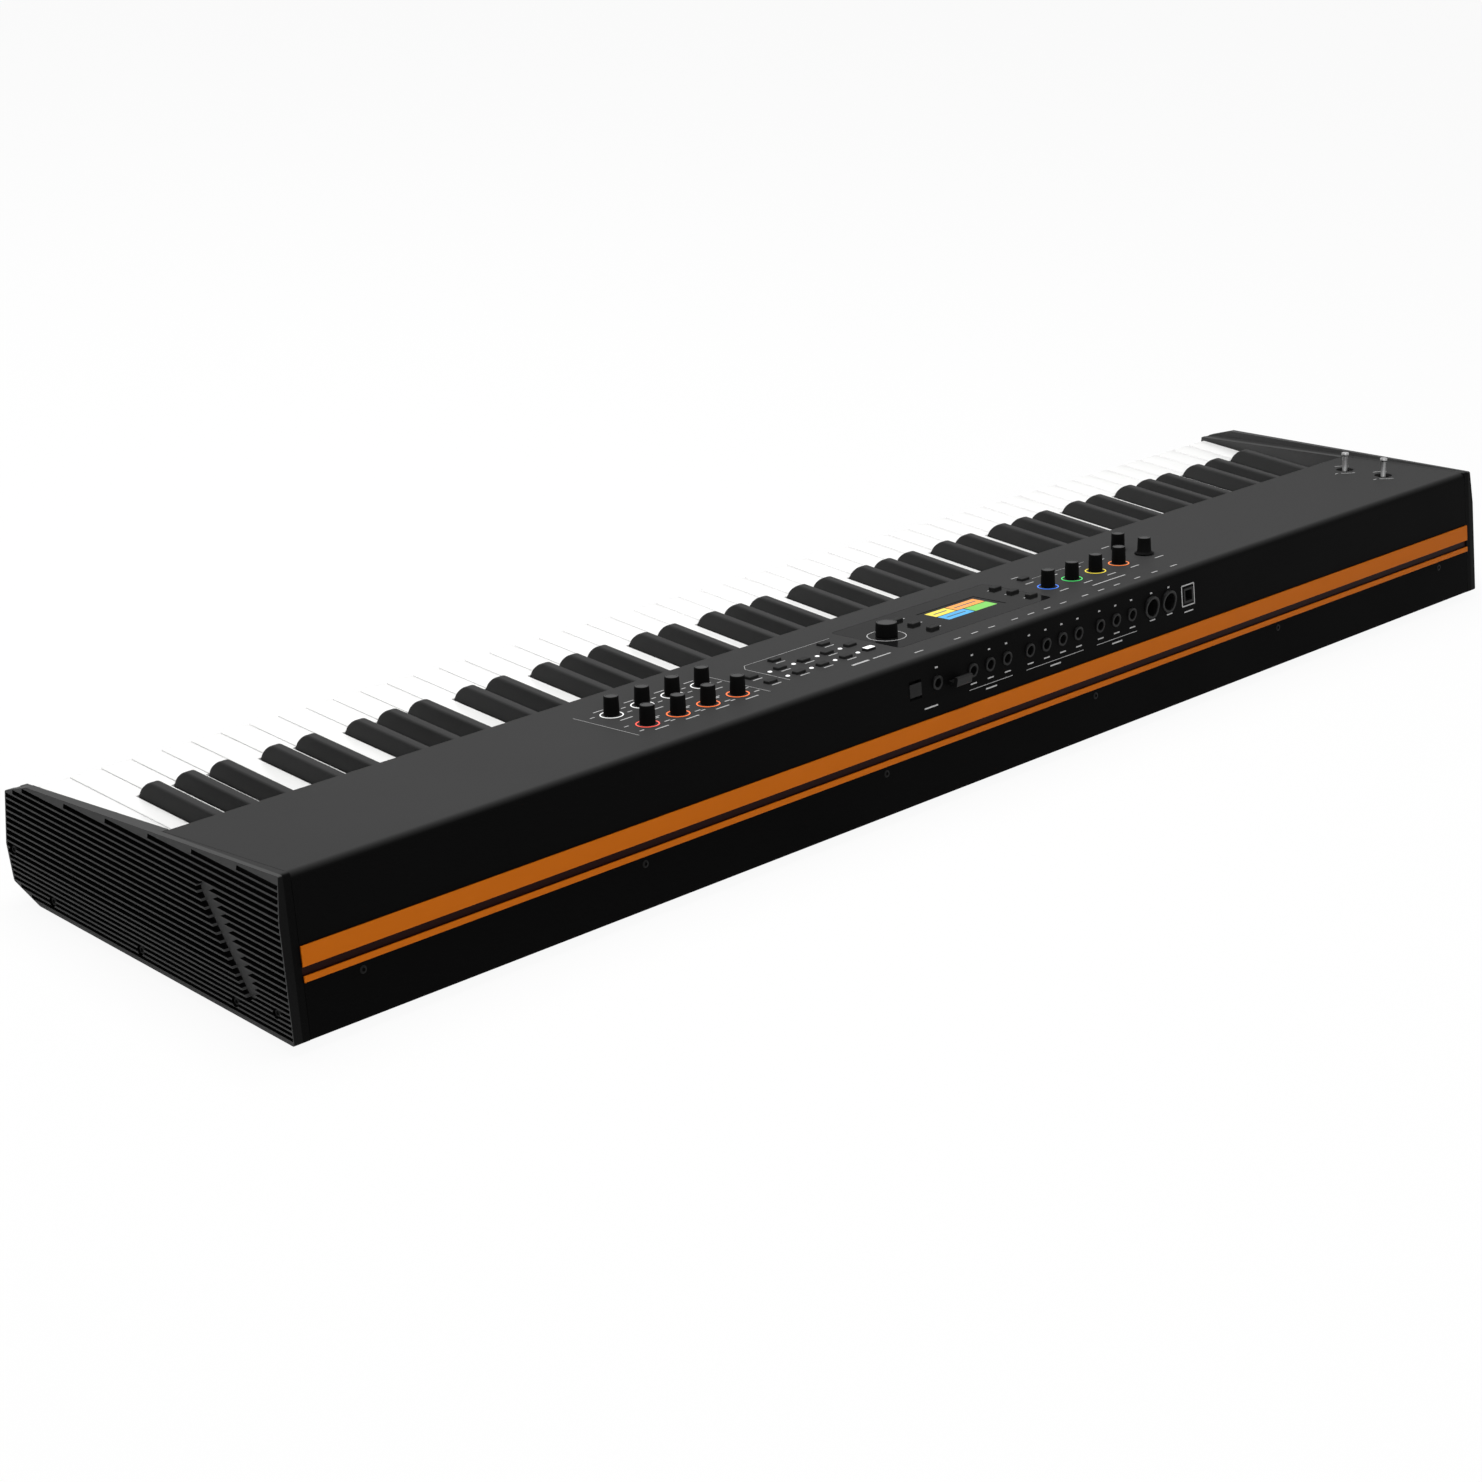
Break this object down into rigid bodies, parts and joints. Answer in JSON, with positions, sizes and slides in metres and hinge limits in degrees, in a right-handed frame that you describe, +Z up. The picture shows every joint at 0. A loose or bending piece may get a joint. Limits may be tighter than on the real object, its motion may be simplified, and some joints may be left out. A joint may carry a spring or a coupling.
{
  "type": "stage piano",
  "caption": "Slim stage piano with a full weighted keyboard, slanted control panel, knobs, buttons, colour display, control sticks and a row of rear sockets.",
  "frame": {"origin": "centre of the footprint, on the surface the feet stand on", "axes": "+X from the bass end to the treble end, -Y towards the player, +Z up"},
  "size_m": [1.262, 0.277, 0.1131],
  "materials": {
    "panel_paint": "dark grey fine matte paint on folded sheet",
    "body_paint": "near-black satin paint on folded sheet",
    "trim_paint": "orange satin anodised or painted strip",
    "cheek_plastic": "black moulded plastic with fine lengthwise ribs",
    "white_key": "white satin key plastic",
    "black_key": "dark grey matte key plastic",
    "knob_rubber": "black soft rubber with a grey top face",
    "button_rubber": "dark grey rubber caps",
    "stick_metal": "bright turned metal",
    "gloss_overlay": "black polished acrylic",
    "circuit_board": "green solder mask with black sockets",
    "frame_metal": "plain rolled metal",
    "foot_rubber": "black rubber",
    "display": "colour display behind clear plastic"
  },
  "bodies": {
    "case": {"top_cover": "panel_paint", "bottom_tray": "body_paint", "front_rail": "body_paint", "rear_stripe_trim": "trim_paint", "left_cheek": "cheek_plastic", "right_cheek": "cheek_plastic", "foot_front_left": "foot_rubber", "foot_front_right": "foot_rubber", "foot_rear_left": "foot_rubber", "foot_rear_right": "foot_rubber", "keybed_frame": "frame_metal", "main_board": "circuit_board", "jack_board": "circuit_board", "display_module": "display", "control_overlay": "gloss_overlay"},
    "gimbal_ring_front": {"gimbal_ring_front": "frame_metal"},
    "gimbal_ring_rear": {"gimbal_ring_rear": "frame_metal"},
    "effect_knob_1": {"effect_knob_1": "knob_rubber"},
    "effect_knob_2": {"effect_knob_2": "knob_rubber"},
    "effect_knob_3": {"effect_knob_3": "knob_rubber"},
    "effect_knob_4": {"effect_knob_4": "knob_rubber"},
    "effect_knob_5": {"effect_knob_5": "knob_rubber"},
    "effect_knob_6": {"effect_knob_6": "knob_rubber"},
    "effect_knob_7": {"effect_knob_7": "knob_rubber"},
    "effect_knob_8": {"effect_knob_8": "knob_rubber"},
    "zone_knob_1": {"zone_knob_1": "knob_rubber"},
    "zone_knob_2": {"zone_knob_2": "knob_rubber"},
    "zone_knob_3": {"zone_knob_3": "knob_rubber"},
    "zone_knob_4": {"zone_knob_4": "knob_rubber"},
    "select_knob": {"select_knob": "knob_rubber"},
    "volume_knob": {"volume_knob": "knob_rubber"},
    "menu_knob": {"menu_knob": "knob_rubber"},
    "stick_front": {"stick_front": "stick_metal"},
    "stick_rear": {"stick_rear": "stick_metal"},
    "sound_buttons": {"sound_buttons": "button_rubber"},
    "effect_buttons": {"effect_buttons": "button_rubber"},
    "display_left_buttons": {"display_left_buttons": "button_rubber"},
    "display_right_buttons": {"display_right_buttons": "button_rubber"},
    "zone_button": {"zone_button": "button_rubber"},
    "power_switch": {"power_switch": "button_rubber"},
    "naturals_A0_B1": {"naturals_A0_B1": "white_key"},
    "sharps_A0_B1": {"sharps_A0_B1": "black_key"},
    "naturals_C2_B3": {"naturals_C2_B3": "white_key"},
    "sharps_C2_B3": {"sharps_C2_B3": "black_key"},
    "naturals_C5_B6": {"naturals_C5_B6": "white_key"},
    "sharps_C5_B6": {"sharps_C5_B6": "black_key"},
    "naturals_C7_C8": {"naturals_C7_C8": "white_key"},
    "sharps_C7_C8": {"sharps_C7_C8": "black_key"},
    "key_C4": {"key_C4": "white_key"},
    "key_D4": {"key_D4": "white_key"},
    "key_E4": {"key_E4": "white_key"},
    "key_F4": {"key_F4": "white_key"},
    "key_G4": {"key_G4": "white_key"},
    "key_A4": {"key_A4": "white_key"},
    "key_B4": {"key_B4": "white_key"},
    "key_Csharp4": {"key_Csharp4": "black_key"},
    "key_Dsharp4": {"key_Dsharp4": "black_key"},
    "key_Fsharp4": {"key_Fsharp4": "black_key"},
    "key_Gsharp4": {"key_Gsharp4": "black_key"},
    "key_Asharp4": {"key_Asharp4": "black_key"}
  },
  "joints": [
    {"name": "effect_knob_1_turn", "type": "hinge", "parent": "case", "child": "effect_knob_1", "pos_m": [0.293, 0.04559, 0.09531], "axis": [0, -0.1256, 0.9921], "continuous": true},
    {"name": "effect_knob_2_turn", "type": "hinge", "parent": "case", "child": "effect_knob_2", "pos_m": [0.265, 0.04559, 0.09531], "axis": [0, -0.1256, 0.9921], "continuous": true},
    {"name": "effect_knob_3_turn", "type": "hinge", "parent": "case", "child": "effect_knob_3", "pos_m": [0.237, 0.04559, 0.09531], "axis": [0, -0.1256, 0.9921], "continuous": true},
    {"name": "effect_knob_4_turn", "type": "hinge", "parent": "case", "child": "effect_knob_4", "pos_m": [0.209, 0.04559, 0.09531], "axis": [0, -0.1256, 0.9921], "continuous": true},
    {"name": "effect_knob_5_turn", "type": "hinge", "parent": "case", "child": "effect_knob_5", "pos_m": [0.293, 0.07803, 0.09941], "axis": [0, -0.1256, 0.9921], "continuous": true},
    {"name": "effect_knob_6_turn", "type": "hinge", "parent": "case", "child": "effect_knob_6", "pos_m": [0.265, 0.07803, 0.09941], "axis": [0, -0.1256, 0.9921], "continuous": true},
    {"name": "effect_knob_7_turn", "type": "hinge", "parent": "case", "child": "effect_knob_7", "pos_m": [0.237, 0.07803, 0.09941], "axis": [0, -0.1256, 0.9921], "continuous": true},
    {"name": "effect_knob_8_turn", "type": "hinge", "parent": "case", "child": "effect_knob_8", "pos_m": [0.209, 0.07803, 0.09941], "axis": [0, -0.1256, 0.9921], "continuous": true},
    {"name": "zone_knob_1_turn", "type": "hinge", "parent": "case", "child": "zone_knob_1", "pos_m": [-0.129, 0.07049, 0.09846], "axis": [0, -0.1256, 0.9921], "continuous": true},
    {"name": "zone_knob_2_turn", "type": "hinge", "parent": "case", "child": "zone_knob_2", "pos_m": [-0.1574, 0.07049, 0.09846], "axis": [0, -0.1256, 0.9921], "continuous": true},
    {"name": "zone_knob_3_turn", "type": "hinge", "parent": "case", "child": "zone_knob_3", "pos_m": [-0.1858, 0.07049, 0.09846], "axis": [0, -0.1256, 0.9921], "continuous": true},
    {"name": "zone_knob_4_turn", "type": "hinge", "parent": "case", "child": "zone_knob_4", "pos_m": [-0.2142, 0.07049, 0.09846], "axis": [0, -0.1256, 0.9921], "continuous": true},
    {"name": "select_knob_turn", "type": "hinge", "parent": "case", "child": "select_knob", "pos_m": [-0.2473, 0.04509, 0.09524], "axis": [0, -0.1256, 0.9921], "continuous": true},
    {"name": "volume_knob_turn", "type": "hinge", "parent": "case", "child": "volume_knob", "pos_m": [-0.248, 0.069, 0.09827], "axis": [0, -0.1256, 0.9921], "range_deg": [-150, 150]},
    {"name": "menu_knob_turn", "type": "hinge", "parent": "case", "child": "menu_knob", "pos_m": [0.0428, 0.06354, 0.09758], "axis": [0, -0.1256, 0.9921], "continuous": true},
    {"name": "stick_front_forward", "type": "hinge", "parent": "case", "child": "gimbal_ring_front", "pos_m": [-0.576, 0.03375, 0.08373], "axis": [1, 0, 0], "range_deg": [-15, 15], "stiffness_Nm_per_rad": 0.03},
    {"name": "stick_front_sideways", "type": "hinge", "parent": "gimbal_ring_front", "child": "stick_front", "pos_m": [-0.576, 0.03375, 0.08373], "axis": [0, 0.9921, 0.1256], "range_deg": [-15, 15], "stiffness_Nm_per_rad": 0.03},
    {"name": "stick_rear_forward", "type": "hinge", "parent": "case", "child": "gimbal_ring_rear", "pos_m": [-0.576, 0.07055, 0.08839], "axis": [1, 0, 0], "range_deg": [-15, 15], "stiffness_Nm_per_rad": 0.03},
    {"name": "stick_rear_sideways", "type": "hinge", "parent": "gimbal_ring_rear", "child": "stick_rear", "pos_m": [-0.576, 0.07055, 0.08839], "axis": [0, 0.9921, 0.1256], "range_deg": [-15, 15], "stiffness_Nm_per_rad": 0.03},
    {"name": "sound_buttons_press", "type": "slide", "parent": "case", "child": "sound_buttons", "axis": [0, 0.1256, -0.9921], "range_m": [0, 0.0008], "stiffness_N_per_m": 3000, "springref_m": -0.001},
    {"name": "effect_buttons_press", "type": "slide", "parent": "case", "child": "effect_buttons", "axis": [0, 0.1256, -0.9921], "range_m": [0, 0.0008], "stiffness_N_per_m": 600, "springref_m": -0.001},
    {"name": "display_left_buttons_press", "type": "slide", "parent": "case", "child": "display_left_buttons", "axis": [0, 0.1256, -0.9921], "range_m": [0, 0.0008], "stiffness_N_per_m": 900, "springref_m": -0.001},
    {"name": "display_right_buttons_press", "type": "slide", "parent": "case", "child": "display_right_buttons", "axis": [0, 0.1256, -0.9921], "range_m": [0, 0.0008], "stiffness_N_per_m": 900, "springref_m": -0.001},
    {"name": "zone_button_press", "type": "slide", "parent": "case", "child": "zone_button", "axis": [0, 0.1256, -0.9921], "range_m": [0, 0.0008], "stiffness_N_per_m": 300, "springref_m": -0.001},
    {"name": "power_switch_rock", "type": "hinge", "parent": "case", "child": "power_switch", "pos_m": [0.08, 0.11848, 0.0845], "axis": [-1, 0, 0], "range_deg": [0, 16]},
    {"name": "naturals_A0_B1_press", "type": "hinge", "parent": "case", "child": "naturals_A0_B1", "pos_m": [-0.505, 0.085, 0.059], "axis": [1, 0, 0], "range_deg": [0, 2.6], "stiffness_Nm_per_rad": 9, "springref_deg": -8.59},
    {"name": "sharps_A0_B1_press", "type": "hinge", "parent": "case", "child": "sharps_A0_B1", "pos_m": [-0.505, 0.085, 0.059], "axis": [1, 0, 0], "range_deg": [0, 2.6], "stiffness_Nm_per_rad": 3.6, "springref_deg": -8.59},
    {"name": "naturals_C2_B3_press", "type": "hinge", "parent": "case", "child": "naturals_C2_B3", "pos_m": [-0.235, 0.085, 0.059], "axis": [1, 0, 0], "range_deg": [0, 2.6], "stiffness_Nm_per_rad": 14, "springref_deg": -8.59},
    {"name": "sharps_C2_B3_press", "type": "hinge", "parent": "case", "child": "sharps_C2_B3", "pos_m": [-0.235, 0.085, 0.059], "axis": [1, 0, 0], "range_deg": [0, 2.6], "stiffness_Nm_per_rad": 6, "springref_deg": -8.59},
    {"name": "naturals_C5_B6_press", "type": "hinge", "parent": "case", "child": "naturals_C5_B6", "pos_m": [0.259, 0.085, 0.059], "axis": [1, 0, 0], "range_deg": [0, 2.6], "stiffness_Nm_per_rad": 14, "springref_deg": -8.59},
    {"name": "sharps_C5_B6_press", "type": "hinge", "parent": "case", "child": "sharps_C5_B6", "pos_m": [0.259, 0.085, 0.059], "axis": [1, 0, 0], "range_deg": [0, 2.6], "stiffness_Nm_per_rad": 6, "springref_deg": -8.59},
    {"name": "naturals_C7_C8_press", "type": "hinge", "parent": "case", "child": "naturals_C7_C8", "pos_m": [0.517, 0.085, 0.059], "axis": [1, 0, 0], "range_deg": [0, 2.6], "stiffness_Nm_per_rad": 8, "springref_deg": -8.59},
    {"name": "sharps_C7_C8_press", "type": "hinge", "parent": "case", "child": "sharps_C7_C8", "pos_m": [0.517, 0.085, 0.059], "axis": [1, 0, 0], "range_deg": [0, 2.6], "stiffness_Nm_per_rad": 3, "springref_deg": -8.59},
    {"name": "key_C4_press", "type": "hinge", "parent": "case", "child": "key_C4", "pos_m": [-0.05875, 0.085, 0.059], "axis": [1, 0, 0], "range_deg": [0, 2.6], "stiffness_Nm_per_rad": 1, "springref_deg": -8.59},
    {"name": "key_D4_press", "type": "hinge", "parent": "case", "child": "key_D4", "pos_m": [-0.03525, 0.085, 0.059], "axis": [1, 0, 0], "range_deg": [0, 2.6], "stiffness_Nm_per_rad": 1, "springref_deg": -8.59},
    {"name": "key_E4_press", "type": "hinge", "parent": "case", "child": "key_E4", "pos_m": [-0.01175, 0.085, 0.059], "axis": [1, 0, 0], "range_deg": [0, 2.6], "stiffness_Nm_per_rad": 1, "springref_deg": -8.59},
    {"name": "key_F4_press", "type": "hinge", "parent": "case", "child": "key_F4", "pos_m": [0.01175, 0.085, 0.059], "axis": [1, 0, 0], "range_deg": [0, 2.6], "stiffness_Nm_per_rad": 1, "springref_deg": -8.59},
    {"name": "key_G4_press", "type": "hinge", "parent": "case", "child": "key_G4", "pos_m": [0.03525, 0.085, 0.059], "axis": [1, 0, 0], "range_deg": [0, 2.6], "stiffness_Nm_per_rad": 1, "springref_deg": -8.59},
    {"name": "key_A4_press", "type": "hinge", "parent": "case", "child": "key_A4", "pos_m": [0.05875, 0.085, 0.059], "axis": [1, 0, 0], "range_deg": [0, 2.6], "stiffness_Nm_per_rad": 1, "springref_deg": -8.59},
    {"name": "key_B4_press", "type": "hinge", "parent": "case", "child": "key_B4", "pos_m": [0.08225, 0.085, 0.059], "axis": [1, 0, 0], "range_deg": [0, 2.6], "stiffness_Nm_per_rad": 1, "springref_deg": -8.59},
    {"name": "key_Csharp4_press", "type": "hinge", "parent": "case", "child": "key_Csharp4", "pos_m": [-0.04935, 0.085, 0.059], "axis": [1, 0, 0], "range_deg": [0, 2.6], "stiffness_Nm_per_rad": 0.6, "springref_deg": -8.59},
    {"name": "key_Dsharp4_press", "type": "hinge", "parent": "case", "child": "key_Dsharp4", "pos_m": [-0.02115, 0.085, 0.059], "axis": [1, 0, 0], "range_deg": [0, 2.6], "stiffness_Nm_per_rad": 0.6, "springref_deg": -8.59},
    {"name": "key_Fsharp4_press", "type": "hinge", "parent": "case", "child": "key_Fsharp4", "pos_m": [0.02014, 0.085, 0.059], "axis": [1, 0, 0], "range_deg": [0, 2.6], "stiffness_Nm_per_rad": 0.6, "springref_deg": -8.59},
    {"name": "key_Gsharp4_press", "type": "hinge", "parent": "case", "child": "key_Gsharp4", "pos_m": [0.047, 0.085, 0.059], "axis": [1, 0, 0], "range_deg": [0, 2.6], "stiffness_Nm_per_rad": 0.6, "springref_deg": -8.59},
    {"name": "key_Asharp4_press", "type": "hinge", "parent": "case", "child": "key_Asharp4", "pos_m": [0.07387, 0.085, 0.059], "axis": [1, 0, 0], "range_deg": [0, 2.6], "stiffness_Nm_per_rad": 0.6, "springref_deg": -8.59}
  ]
}
